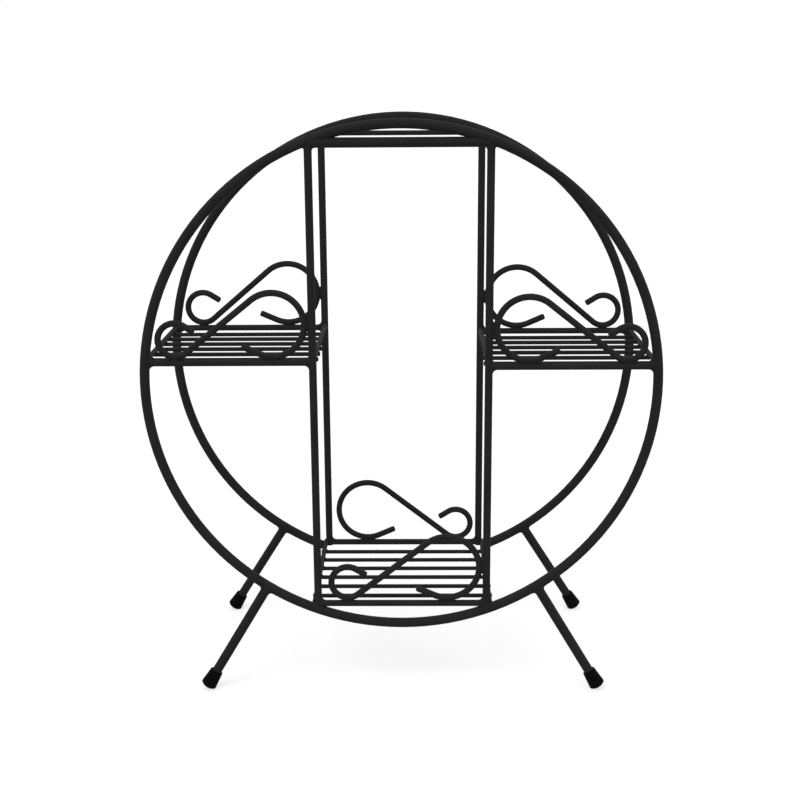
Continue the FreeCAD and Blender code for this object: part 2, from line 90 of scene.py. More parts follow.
@dataclass(frozen=True)
class StandSizes:
    """Sizes of the bars that the welds follow, in metres and degrees, as in the solids.

    Attributes:
        ring_radius: Radius of the rings' centrelines.
        ring_bar: Thickness of the rings.
        frame_spacing: From the front ring's plane to the rear ring's.
        upright_bar: Thickness of the uprights.
        upright_offset: Distance of the uprights from the middle.
        front_top_bar: Thickness of the front top bar.
        rear_top_bar: Thickness of the rear top bar.
        top_bar_drop: Depth of the top bars under the place where the uprights meet the ring.
        rail_bar: Thickness of the rails.
        left_shelf_rise: Height of the left shelf's rails over the rings' middle.
        right_shelf_rise: Height of the right shelf's rails over the rings' middle.
        bottom_shelf_rise: Height of the bottom shelf's rails over the place where the uprights meet the ring.
        spreader_bar: Thickness of the spreaders.
        bottom_spreader_shift: Distance of the bottom shelf's spreaders outside the uprights.
        wire_bar: Thickness of the deck wires.
        wire_count: Number of deck wires in a shelf.
        wire_drop: Depth of the deck wires under the rails.
        wire_overhang: Length of the deck wires past the spreaders.
        scroll_bar: Thickness of the scrolls.
        side_front_big_loop_radius: Radius of the big loops of the side shelves' front scrolls.
        side_rear_big_loop_radius: Radius of the big loops of the side shelves' rear scrolls.
        bottom_big_loop_radius: Radius of the big loops of the bottom shelf's scrolls.
        small_loop_radius: Radius of the small loops of all scrolls.
        scroll_clearance: Gap between a big loop and the upright that it is tacked to.
        side_small_loop_gap: Gap between the side shelves' small loops and the rings.
        front_small_loop_gap: Gap between the bottom front scroll's small loop and its upright.
        rear_big_loop_gap: Gap between the bottom rear scroll's big loop and its upright.
        rear_small_loop_gap: Gap between the bottom rear scroll's small loop and its upright.
        leg_bar: Thickness of the legs.
        leg_height: Height of the legs' upper ends.
        leg_position: Angle from the rings' lowest point to the legs' upper ends.
        leg_lean: Angle by which the legs lean sideways.
        leg_splay: Angle by which the legs lean forwards or backwards.
        weld_sink: Depth by which a rod is welded into the bar that carries it.
    """

    ring_radius: float = 310 * MM
    ring_bar: float = 12 * MM
    frame_spacing: float = 216 * MM
    upright_bar: float = 9.5 * MM
    upright_offset: float = 106 * MM
    front_top_bar: float = 12 * MM
    rear_top_bar: float = 6.5 * MM
    top_bar_drop: float = 2.8 * MM
    rail_bar: float = 8 * MM
    left_shelf_rise: float = 28.5 * MM
    right_shelf_rise: float = 22.6 * MM
    bottom_shelf_rise: float = 8 * MM
    spreader_bar: float = 6 * MM
    bottom_spreader_shift: float = 4.5 * MM
    wire_bar: float = 5.3 * MM
    wire_count: int = 6
    wire_drop: float = 3.2 * MM
    wire_overhang: float = 1 * MM
    scroll_bar: float = 8 * MM
    side_front_big_loop_radius: float = 38.7 * MM
    side_rear_big_loop_radius: float = 40 * MM
    bottom_big_loop_radius: float = 40.5 * MM
    small_loop_radius: float = 20.5 * MM
    scroll_clearance: float = 0.5 * MM
    side_small_loop_gap: float = 2.5 * MM
    front_small_loop_gap: float = 8.3 * MM
    rear_big_loop_gap: float = 6 * MM
    rear_small_loop_gap: float = 3 * MM
    leg_bar: float = 12 * MM
    leg_height: float = 132 * MM
    leg_position: float = 33.0
    leg_lean: float = 31.5
    leg_splay: float = 7.5
    weld_sink: float = 0.4 * MM

    @property
    def ring_z(self) -> float:
        """Height of the rings' middle."""
        return self.leg_height + self.ring_radius * math.cos(math.radians(self.leg_position))

    @property
    def crossing(self) -> float:
        """Height of the ring's centreline over its middle where the uprights meet it."""
        return math.sqrt(self.ring_radius**2 - self.upright_offset**2)

    @property
    def bottom_rail_z(self) -> float:
        """Height of the bottom shelf's rails."""
        return self.ring_z - self.crossing + self.bottom_shelf_rise

    @property
    def spreader_rise(self) -> float:
        """Height of the spreaders over their rails."""
        return self.spreader_bar / 2 + self.wire_bar / 2 - self.weld_sink - self.wire_drop

    @property
    def scroll_seat(self) -> float:
        """Height of a scroll rod's middle over its rail."""
        return self.rail_bar / 2 + self.scroll_bar / 2 - self.weld_sink

    def plane_y(self, plane: Plane) -> float:
        """The y of a frame's plane."""
        return plane.value * self.frame_spacing / 2

    def top_bar(self, plane: Plane) -> float:
        """Thickness of a frame's top bar."""
        return self.front_top_bar if plane is Plane.FRONT else self.rear_top_bar

    def side_rise(self, hand: Hand) -> float:
        """Height of a side shelf's rails over the rings' middle."""
        return self.left_shelf_rise if hand is Hand.LEFT else self.right_shelf_rise

    def side_loop(self, plane: Plane) -> float:
        """Radius of the big loop of a side shelf's scroll."""
        return self.side_front_big_loop_radius if plane is Plane.FRONT else self.side_rear_big_loop_radius


SIZES = StandSizes()


def unit(vectors: np.ndarray) -> np.ndarray:
    """Scale vectors to length one along the last axis."""
    return vectors / np.linalg.norm(vectors, axis=-1, keepdims=True)


@dataclass(frozen=True)
class Rod:
    """A round bar at a joint.

    Attributes:
        point: A point on the bar's axis.
        direction: The axis's direction; for a bar that ends at the joint, away from the joint.
        radius: Half the bar's diameter.
    """

    point: Triple
    direction: Triple
    radius: float

    @property
    def base(self) -> np.ndarray:
        """The point as an array."""
        return np.array(self.point)

    @property
    def axis(self) -> np.ndarray:
        """The direction as an array of length one."""
        return unit(np.array(self.direction))


@dataclass(frozen=True)
class Surface:
    """A closed surface given as a grid of points.

    Attributes:
        points: Array of shape (columns, rows, 3); the columns go round and close on themselves.
        poles: The two points that close the first and the last row, or None where the rows go round as well.
    """

    points: np.ndarray
    poles: np.ndarray | None = None

    def vertices(self) -> np.ndarray:
        """The grid's points as one list, followed by the poles."""
        flat = self.points.reshape(-1, 3)
        return flat if self.poles is None else np.vstack([flat, self.poles])

    def faces(self) -> tuple[np.ndarray, np.ndarray]:
        """Join neighbours in the grid to quads, and the end rows to the poles by triangles.

        Returns:
            The vertex numbers of the quads and of the triangles, all turned outwards.
        """
        columns, rows = self.points.shape[:2]
        column = np.arange(columns)[:, None]
        row = np.arange(rows if self.poles is None else rows - 1)[None, :]
        after, above = (column + 1) % columns, (row + 1) % rows
        corners = (column * rows + row, after * rows + row, after * rows + above, column * rows + above)
        quads = np.stack(corners, axis=-1).reshape(-1, 4)
        triangles = np.empty((0, 3), dtype=int)
        if self.poles is not None:
            around, following = (column * rows)[:, 0], (after * rows)[:, 0]
            low_pole = np.full(columns, columns * rows)
            first = np.stack([low_pole, following, around], axis=-1)
            last = np.stack([low_pole + 1, around + rows - 1, following + rows - 1], axis=-1)
            triangles = np.vstack([first, last])
        if self.volume(quads, triangles) < 0:
            quads, triangles = quads[:, ::-1], triangles[:, ::-1]
        return quads, triangles

    def volume(self, quads: np.ndarray, triangles: np.ndarray) -> float:
        """Add up the signed volumes between the faces and the surface's middle.

        Args:
            quads: Faces of four vertices.
            triangles: Faces of three vertices.

        Returns:
            Six times the enclosed volume, negative where the faces are turned inwards.
        """
        points = self.vertices() - self.vertices().mean(axis=0)
        halves = np.vstack([quads[:, [0, 1, 2]], quads[:, [0, 2, 3]], triangles])
        a, b, c = (points[halves[:, corner]] for corner in range(3))
        return float(np.einsum("ij,ij->", a, np.cross(b, c)))


class Weld(ABC):
    """A piece of weld or coat whose surface is worked out from its sizes."""

    @abstractmethod
    def build(self) -> Surface:
        """Work out the closed surface."""


@dataclass(frozen=True)
class Bead(Weld):
    """A small weld bead: an ellipsoid on a grid of longitude and height angle.

    Attributes:
        centre: Its middle.
        halves: Its half lengths along X, Y and Z.
        columns: Points round it.
        rows: Points between the poles.
    """

    centre: Triple
    halves: Triple
    columns: int = 20
    rows: int = 9

    def build(self) -> Surface:
        """Work out the bead: centre + halves * (cos u cos v, sin u cos v, sin v), v between the poles.

        Returns:
            The ellipsoid, with the poles beside its grid.
        """
        turn = np.linspace(0, math.tau, self.columns, endpoint=False)[:, None]
        lift = np.linspace(-math.pi / 2, math.pi / 2, self.rows + 2)[None, 1:-1]
        components = (np.cos(turn) * np.cos(lift), np.sin(turn) * np.cos(lift), np.sin(lift))
        ball = np.stack(np.broadcast_arrays(*components), axis=-1)
        poles = np.array([[0, 0, -1], [0, 0, 1]])
        centre, halves = np.array(self.centre), np.array(self.halves)
        return Surface(centre + ball * halves, centre + poles * halves)


@dataclass(frozen=True)
class Fillet(Weld):
    """A weld fillet round the end of a bar, on the side of the member that it meets.

    Attributes:
        bar: The bar that ends at the joint.
        member: The bar that it ends on.
        leg: How far the fillet runs up the bar and out over the member.
        lowest: Height of the member's lower end, where the fillet is cut off.
        sink: How far its edges lie under the bars' surfaces.
        columns: Points round the bar.
        rows: Points across the fillet.
    """

    bar: Rod
    member: Rod
    leg: float
    lowest: float = -math.inf
    sink: float = 0.12 * MM
    columns: int = 40
    rows: int = 7

    def outwards(self) -> np.ndarray:
        """Turn once round the bar: across cos u + third sin u, where across and third are square to the bar.

        Returns:
            Vectors of length one away from the bar's axis, one for each column.
        """
        axis, grain = self.bar.axis, self.member.axis
        across = unit(grain - grain.dot(axis) * axis)
        third = np.cross(axis, across)
        turn = np.linspace(0, math.tau, self.columns, endpoint=False)[:, None]
        return np.cos(turn) * across + np.sin(turn) * third

    def corners(self, out: np.ndarray) -> np.ndarray:
        """Follow the lines along the bar's surface to the member's surface.

        The squared distance of a line's point from the member's axis is a quadratic in the travel along the
        line. The larger root is where the bar comes out of the member.

        Args:
            out: Vectors of length one from the bar's axis to the lines.

        Returns:
            The point on each line.
        """
        axis, grain = self.bar.axis, self.member.axis
        start = self.bar.base + (self.bar.radius - self.sink) * out
        offset = start - self.member.base
        offset_flat = offset - (offset @ grain)[:, None] * grain
        axis_flat = axis - axis.dot(grain) * grain
        square = axis_flat.dot(axis_flat)
        half = offset_flat @ axis_flat
        rest = np.einsum("ij,ij->i", offset_flat, offset_flat) - (self.member.radius - self.sink) ** 2
        travel = (-half + np.sqrt(np.maximum(half**2 - square * rest, 0))) / square
        return start + travel[:, None] * axis

    def build(self) -> Surface:
        """Work out the fillet.

        For each angle round the bar there is a corner where the bar's surface meets the member's. From it the
        fillet's edges lie one leg up the bar and one leg out along the member, wrapped round it, and a
        quadratic curve whose control point is the corner joins them. A point under the corner, twice as deep
        as the edges, closes it.

        Returns:
            A closed ring-shaped surface.
        """
        grain = self.member.axis
        radius = self.member.radius - self.sink
        out = self.outwards()
        corner = self.corners(out)
        reach = corner - self.member.base
        along = reach @ grain
        normal = unit(reach - along[:, None] * grain)
        around = np.cross(grain, normal)
        wrap = self.leg * np.einsum("ij,ij->i", out, around)[:, None] / radius
        edge = (
            self.member.base
            + (along + self.leg * (out @ grain))[:, None] * grain
            + radius * (normal * np.cos(wrap) + around * np.sin(wrap))
        )
        edge[:, 2] = np.maximum(edge[:, 2], self.lowest)
        top = corner + self.leg * self.bar.axis
        share = np.linspace(0, 1, self.rows)[None, :, None]
        curve = (
            (1 - share) ** 2 * top[:, None]
            + 2 * share * (1 - share) * corner[:, None]
            + share**2 * edge[:, None]
        )
        under = corner - 2 * self.sink * out - 2 * self.sink * normal
        return Surface(np.concatenate([curve, under[:, None]], axis=1))


def new_piece(name: str, welds: list[Weld], material: bpy.types.Material) -> bpy.types.Object:
    """Put welds into one smooth-shaded mesh object that rides on the stand.

    Args:
        name: The piece's name.
        welds: What it consists of.
        material: Its finish.

    Returns:
        The new object, at the origin.
    """
    vertices: list[np.ndarray] = []
    faces: list[list[int]] = []
    count = 0
    for weld in welds:
        surface = weld.build()
        vertices.append(surface.vertices())
        for numbers in surface.faces():
            faces += (numbers + count).tolist()
        count += len(vertices[-1])
    mesh = bpy.data.meshes.new(name)
    mesh.from_pydata(np.vstack(vertices).tolist(), [], faces)
    mesh.polygons.foreach_set("use_smooth", np.ones(len(mesh.polygons), dtype=bool))
    mesh.materials.append(material)
    mesh.update()
    piece = bpy.data.objects.new(name, mesh)
    bpy.context.scene.collection.objects.link(piece)
    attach(piece, BODY)
    return piece


def dress_nodes(names: list[str], material: bpy.types.Material) -> list[bpy.types.Object]:
    """Give CAD nodes their finish.

    Args:
        names: The nodes' names.
        material: The finish.

    Returns:
        The nodes.
    """
    nodes = [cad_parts[name] for name in names]
    for node in nodes:
        if not node.material_slots:
            node.data.materials.append(material)
        for place in node.material_slots:
            place.material = material
    return nodes


@dataclass(frozen=True)
class DullFinish:
    """A dull, nearly even finish with faint clouds and a fine grain.

    Attributes:
        name: The material's name.
        dark: The darker tone.
        light: The lighter tone.
        rough_low: Roughness of the smoothest places.
        rough_high: Roughness of the dullest places.
        sheen: The shader's specular level.
        cloud_scale: How fine the clouds are.
        grain_scale: How fine the grain is.
        cloud_detail: Number of finer layers in the clouds.
        cloud_low: The clouds' value at the darker tone.
        cloud_high: The clouds' value at the lighter tone.
        grain_detail: Number of finer layers in the grain.
        grain_height: Height of the grain.
        grain_strength: Share of the grain's height that shows.
    """

    name: str
    dark: Triple
    light: Triple
    rough_low: float
    rough_high: float
    sheen: float
    cloud_scale: float
    grain_scale: float
    cloud_detail: float = 4.0
    cloud_low: float = 0.3
    cloud_high: float = 0.7
    grain_detail: float = 2.0
    grain_height: float = 0.05 * MM
    grain_strength: float = 0.6

    def material(self) -> bpy.types.Material:
        """Make the material: clouds set tone and roughness, a fine noise sets the bump.

        Returns:
            The new material.
        """
        material = bpy.data.materials.new(self.name)
        material.use_nodes = True
        shader = material.node_tree.nodes["Principled BSDF"]
        shader.inputs["Specular IOR Level"].default_value = self.sheen
        self.lay_clouds(material.node_tree, shader)
        self.lay_grain(material.node_tree, shader)
        return material

    @staticmethod
    def noise(tree: bpy.types.NodeTree, scale: float, detail: float) -> bpy.types.NodeSocket:
        """Add a noise on the object's own coordinates.

        Args:
            tree: The material's nodes.
            scale: How fine the noise is.
            detail: Number of its finer layers.

        Returns:
            The socket with the noise's value.
        """
        place = tree.nodes.new("ShaderNodeTexCoord")
        noise = tree.nodes.new("ShaderNodeTexNoise")
        noise.inputs["Scale"].default_value = scale
        noise.inputs["Detail"].default_value = detail
        tree.links.new(place.outputs["Object"], noise.inputs["Vector"])
        return noise.outputs["Fac"]

    def lay_clouds(self, tree: bpy.types.NodeTree, shader: bpy.types.Node) -> None:
        """Let clouds lead from the darker to the lighter tone and from the smoother to the duller places.

        Args:
            tree: The material's nodes.
            shader: The node that takes the colour and the roughness.
        """
        clouds = self.noise(tree, self.cloud_scale, self.cloud_detail)
        tone = tree.nodes.new("ShaderNodeValToRGB")
        low, high = tone.color_ramp.elements
        low.position, low.color = self.cloud_low, (*self.dark, OPAQUE)
        high.position, high.color = self.cloud_high, (*self.light, OPAQUE)
        tree.links.new(clouds, tone.inputs["Fac"])
        tree.links.new(tone.outputs["Color"], shader.inputs["Base Color"])
        dullness = tree.nodes.new("ShaderNodeMapRange")
        dullness.inputs["From Min"].default_value = self.cloud_low
        dullness.inputs["From Max"].default_value = self.cloud_high
        dullness.inputs["To Min"].default_value = self.rough_low
        dullness.inputs["To Max"].default_value = self.rough_high
        tree.links.new(clouds, dullness.inputs["Value"])
        tree.links.new(dullness.outputs["Result"], shader.inputs["Roughness"])

    def lay_grain(self, tree: bpy.types.NodeTree, shader: bpy.types.Node) -> None:
        """Roughen the surface with a fine bump.

        Args:
            tree: The material's nodes.
            shader: The node that takes the bump.
        """
        bump = tree.nodes.new("ShaderNodeBump")
        bump.inputs["Strength"].default_value = self.grain_strength
        bump.inputs["Distance"].default_value = self.grain_height
        tree.links.new(self.noise(tree, self.grain_scale, self.grain_detail), bump.inputs["Height"])
        tree.links.new(bump.outputs["Normal"], shader.inputs["Normal"])


@dataclass(frozen=True)
class PowderCoat(DullFinish):
    """Dull black powder coat on the steel, with an orange-peel grain."""

    name: str = "powder_coat"
    dark: Triple = (0.0088, 0.0088, 0.009)
    light: Triple = (0.0175, 0.0175, 0.0178)
    rough_low: float = 0.8
    rough_high: float = 0.94
    sheen: float = 0.17
    cloud_scale: float = 26.0
    grain_scale: float = 950.0


@dataclass(frozen=True)
class MouldedRubber(DullFinish):
    """Rubber of the feet, blacker than the coat."""

    name: str = "moulded_rubber"
    dark: Triple = (0.0008, 0.0008, 0.0008)
    light: Triple = (0.0016, 0.0016, 0.0016)
    rough_low: float = 0.72
    rough_high: float = 0.85
    sheen: float = 0.05
    cloud_scale: float = 60.0
    grain_scale: float = 1400.0


@dataclass(frozen=True)
class Finishes:
    """The stand's materials.

    Attributes:
        coat: The coat on all the steel.
        rubber: The feet's rubber.
    """

    coat: bpy.types.Material
    rubber: bpy.types.Material


class SubAssembly(ABC):
    """A group of pieces that belong together."""

    @abstractmethod
    def build(self, finishes: Finishes) -> list[bpy.types.Object]:
        """Make and return the group's new pieces."""

    @abstractmethod
    def dress(self, finishes: Finishes) -> list[bpy.types.Object]:
        """Give the group's CAD nodes their finishes and return them."""


@dataclass(kw_only=True)
class RingFrame(SubAssembly):
    """The two rings with their uprights and top bars.

    Attributes:
        leg: Leg of the weld fillets.
        end_halves: Half lengths of the beads on the rear ring's lower ends.
        sizes: The stand's sizes.
    """

    leg: float = 4.5 * MM
    end_halves: Triple = (3 * MM, 4.4 * MM, 3 * MM)
    sizes: StandSizes = SIZES

    def ring_rod(self, plane: Plane, x: float, z: float) -> Rod:
        """The ring's bar near a point of its frame, as a straight rod along the ring's tangent.

        Args:
            plane: The ring's frame.
            x: The point's x.
            z: The point's height.

        Returns:
            A rod that touches the ring's centreline in the direction of the point.
        """
        away = unit(np.array([x, 0.0, z - self.sizes.ring_z]))
        middle = np.array([0.0, self.sizes.plane_y(plane), self.sizes.ring_z])
        point = away * self.sizes.ring_radius + middle
        return Rod(tuple(point), (-away[2], 0.0, away[0]), self.sizes.ring_bar / 2)

    def upright_rod(self, plane: Plane, hand: Hand) -> Rod:
        """An upright's bar.

        Args:
            plane: The upright's frame.
            hand: The upright's side.

        Returns:
            A rod through the upright at the height of the rings' middle.
        """
        sizes = self.sizes
        point = (hand.value * sizes.upright_offset, sizes.plane_y(plane), sizes.ring_z)
        return Rod(point, (0.0, 0.0, 1.0), sizes.upright_bar / 2)

    def upright_end(self, plane: Plane, hand: Hand, level: Level) -> Weld:
        """The weld at an end of an upright.

        Args:
            plane: The upright's frame.
            hand: The upright's side.
            level: The upright's end.

        Returns:
            A bead where the rear ring ends on the upright, elsewhere a fillet on the ring.
        """
        sizes = self.sizes
        upright = self.upright_rod(plane, hand)
        x, y, _ = upright.point
        if plane is Plane.REAR and level is Level.LOWER:
            return Bead((x + hand.value * upright.radius, y, sizes.bottom_rail_z), self.end_halves)
        ring = self.ring_rod(plane, x, sizes.ring_z + level.value * sizes.crossing)
        bar = Rod(upright.point, (0.0, 0.0, -level.value), upright.radius)
        return Fillet(bar, ring, self.leg)

    def top_bar_end(self, plane: Plane, hand: Hand) -> Weld:
        """The weld at an end of a top bar.

        Args:
            plane: The top bar's frame.
            hand: The end's side.

        Returns:
            A fillet on the upright.
        """
        sizes = self.sizes
        upright = self.upright_rod(plane, hand)
        x, y, _ = upright.point
        place = (x, y, sizes.ring_z + sizes.crossing - sizes.top_bar_drop)
        top_bar = Rod(place, (-hand.value, 0.0, 0.0), sizes.top_bar(plane) / 2)
        return Fillet(top_bar, upright, self.leg)

    def welds(self) -> list[Weld]:
        """The welds of all uprights and top bars.

        Returns:
            For each upright its two ends, then the end of the top bar on it.
        """
        found: list[Weld] = []
        for plane, hand in product(Plane, Hand):
            found += [self.upright_end(plane, hand, level) for level in Level]
            found.append(self.top_bar_end(plane, hand))
        return found

    def build(self, finishes: Finishes) -> list[bpy.types.Object]:
        """Make the frame's welds in place of the plain beads.

        Args:
            finishes: The stand's materials.

        Returns:
            The one piece.
        """
        piece = new_piece("upright_weld_fillets", self.welds(), finishes.coat)
        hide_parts("upright_welds")
        return [piece]

    def dress(self, finishes: Finishes) -> list[bpy.types.Object]:
        """Coat the rings, top bars and uprights.

        Args:
            finishes: The stand's materials.

        Returns:
            Their nodes.
        """
        names = [f"{plane.label}_{item}" for plane in Plane for item in ("ring", "top_bar")]
        names += [f"{plane.label}_{hand.label}_upright" for plane, hand in product(Plane, Hand)]
        return dress_nodes(names, finishes.coat)


@dataclass(kw_only=True)
class Shelf(SubAssembly):
    """A wire shelf: rails, spreaders, deck wires and scrolls.

    Attributes:
        label: The shelf's name in node names.
        rail_z: Height of its rails.
        spreader_xs: The x of its two spreaders.
        spreader_labels: The names of its two spreaders.
        loops: For each frame, the x of the scroll's big and small loop.
        ring_frame: The frame that carries it.
        rail_leg: Leg of the rails' weld fillets.
        spreader_leg: Leg of the spreaders' weld fillets.
        spot_halves: Half lengths of the beads between the deck wires and the spreaders.
        wire_end_bulge: Bulge of the coat on the deck wires' cut ends.
        big_seam_halves: Half lengths of the beads between the big loops and the rails.
        small_seam_halves: Half lengths of the beads between the small loops and the rails.
        seam_shift: Distance of those beads from the frame's plane.
        tack_halves: Half lengths of the beads between the big loops and the uprights.
        sizes: The stand's sizes.
    """

    label: str
    rail_z: float
    spreader_xs: tuple[float, float]
    spreader_labels: tuple[str, str]
    loops: dict[Plane, tuple[float, float]]
    ring_frame: RingFrame
    rail_leg: float = 7 * MM
    spreader_leg: float = 3 * MM
    spot_halves: Triple = (4.4 * MM, 4 * MM, 1.7 * MM)
    wire_end_bulge: float = 0.9 * MM
    big_seam_halves: Triple = (7.5 * MM, 1.7 * MM, 1.6 * MM)
    small_seam_halves: Triple = (5.5 * MM, 1.7 * MM, 1.6 * MM)
    seam_shift: float = 1.5 * MM
    tack_halves: Triple = (2.4 * MM, 2.6 * MM, 9 * MM)
    sizes: StandSizes = SIZES

    @abstractmethod
    def fillets(self) -> list[Weld]:
        """The fillets of the bars of this shelf that end on the frame."""

    @abstractmethod
    def tacks(self) -> list[Weld]:
        """The beads where the scrolls' big loops touch the uprights."""

    def spreader_z(self) -> float:
        """Height of the spreaders."""
        return self.rail_z + self.sizes.spreader_rise

    def wire_z(self) -> float:
        """Height of the deck wires."""
        return self.rail_z - self.sizes.wire_drop

    def wire_ys(self) -> list[float]:
        """The y of the deck wires, evenly spaced between the frames."""
        count = self.sizes.wire_count
        return (self.sizes.frame_spacing * (np.arange(1, count + 1) / (count + 1) - 0.5)).tolist()

    def spot_welds(self) -> list[Weld]:
        """Flat beads squeezed out where the deck wires cross under the spreaders.

        Returns:
            One bead for each crossing.
        """
        z = self.wire_z() + self.sizes.wire_bar / 2 - self.sizes.weld_sink / 2
        return [Bead((x, y, z), self.spot_halves) for x, y in product(self.spreader_xs, self.wire_ys())]

    def wire_ends(self) -> list[Weld]:
        """Coat rounded over the cut ends of the deck wires.

        Returns:
            Two beads for each wire.
        """
        beyond = self.sizes.spreader_bar / 2 + self.sizes.wire_overhang
        ends = (min(self.spreader_xs) - beyond, max(self.spreader_xs) + beyond)
        halves = (self.wire_end_bulge, self.sizes.wire_bar / 2, self.sizes.wire_bar / 2)
        return [Bead((x, y, self.wire_z()), halves) for x, y in product(ends, self.wire_ys())]

    def seams(self) -> list[Weld]:
        """Long beads in front of and behind the places where the scrolls' loops stand on the rails.

        Returns:
            Two beads for each loop.
        """
        z = self.rail_z + self.sizes.scroll_seat / 2
        found: list[Weld] = []
        for plane, xs in self.loops.items():
            for x, halves in zip(xs, (self.big_seam_halves, self.small_seam_halves)):
                ys = [self.sizes.plane_y(plane) + side.value * self.seam_shift for side in Plane]
                found += [Bead((x, y, z), halves) for y in ys]
        return found

    def build(self, finishes: Finishes) -> list[bpy.types.Object]:
        """Make the shelf's weld fillets, spot welds, wire ends and scroll seams.

        Args:
            finishes: The stand's materials.

        Returns:
            The four pieces, of which the fillets replace the plain beads where the shelf has them.
        """
        groups = {
            "weld_fillets": self.fillets(),
            "spot_welds": self.spot_welds(),
            "wire_ends": self.wire_ends(),
            "scroll_seams": self.seams() + self.tacks(),
        }
        pieces = {
            name: new_piece(f"{self.label}_{name}", welds, finishes.coat) for name, welds in groups.items()
        }
        if f"{self.label}_welds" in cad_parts:
            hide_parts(f"{self.label}_welds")
        return list(pieces.values())

    def dress(self, finishes: Finishes) -> list[bpy.types.Object]:
        """Coat the shelf's bars.

        Args:
            finishes: The stand's materials.

        Returns:
            Their nodes.
        """
        names = [f"{self.label}_{plane.label}_{item}" for plane in Plane for item in ("rail", "scroll")]
        names += [f"{self.label}_{name}_spreader" for name in self.spreader_labels]
        names += [f"{self.label}_wire_{number}" for number in range(1, self.sizes.wire_count + 1)]
        return dress_nodes(names, finishes.coat)


@dataclass(kw_only=True)
class SideShelf(Shelf):
    """A shelf between the rings and the uprights of one side.

    Attributes:
        hand: The shelf's side.
    """

    hand: Hand

    @classmethod
    def on(cls, hand: Hand, ring_frame: RingFrame, sizes: StandSizes = SIZES) -> "SideShelf":
        """Work out a side shelf's places.

        Args:
            hand: Its side.
            ring_frame: The frame that carries it.
            sizes: The stand's sizes.

        Returns:
            The shelf.
        """
        rise = sizes.side_rise(hand)
        outer = math.sqrt(sizes.ring_radius**2 - (rise + sizes.spreader_rise) ** 2)
        back = sizes.upright_offset + sizes.upright_bar / 2
        edge = back + sizes.scroll_clearance + sizes.scroll_bar / 2
        reach = (
            sizes.ring_radius - sizes.ring_bar / 2 - sizes.side_small_loop_gap
            - sizes.scroll_bar / 2 - sizes.small_loop_radius
        )
        small = math.sqrt(reach**2 - (rise + sizes.scroll_seat + sizes.small_loop_radius) ** 2)
        loops = {
            plane: (hand.value * (edge + sizes.side_loop(plane)), hand.value * small) for plane in Plane
        }
        return cls(
            label=f"{hand.label}_shelf",
            rail_z=sizes.ring_z + rise,
            spreader_xs=(hand.value * outer, hand.value * sizes.upright_offset),
            spreader_labels=("outer", "inner"),
            loops=loops,
            ring_frame=ring_frame,
            sizes=sizes,
            hand=hand,
        )

    def fillets(self) -> list[Weld]:
        """The rails' and spreaders' fillets on the rings and uprights.

        Returns:
            For each frame the rail's two ends, then the two spreaders' ends.
        """
        sizes, way = self.sizes, self.hand.value
        middle = way * (sizes.upright_offset + sizes.ring_radius) / 2
        found: list[Weld] = []
        for plane in Plane:
            point = (middle, sizes.plane_y(plane), self.rail_z)
            upright = self.ring_frame.upright_rod(plane, self.hand)
            ring = self.ring_frame.ring_rod(plane, self.spreader_xs[0], self.rail_z)
            for end, member in ((-way, ring), (way, upright)):
                rail = Rod(point, (end, 0.0, 0.0), sizes.rail_bar / 2)
                found.append(Fillet(rail, member, self.rail_leg))
            for x, member in zip(self.spreader_xs, (ring, upright)):
                inwards = (0.0, -plane.value, 0.0)
                spreader = Rod((x, 0.0, self.spreader_z()), inwards, sizes.spreader_bar / 2)
                found.append(Fillet(spreader, member, self.spreader_leg))
        return found

    def tacks(self) -> list[Weld]:
        """The beads between the big loops and the uprights.

        Returns:
            One bead for each frame.
        """
        sizes = self.sizes
        x = self.hand.value * (sizes.upright_offset + sizes.upright_bar / 2 + sizes.scroll_clearance / 2)
        seat_z = self.rail_z + sizes.scroll_seat
        places = [(x, sizes.plane_y(plane), seat_z + sizes.side_loop(plane)) for plane in Plane]
        return [Bead(place, self.tack_halves) for place in places]


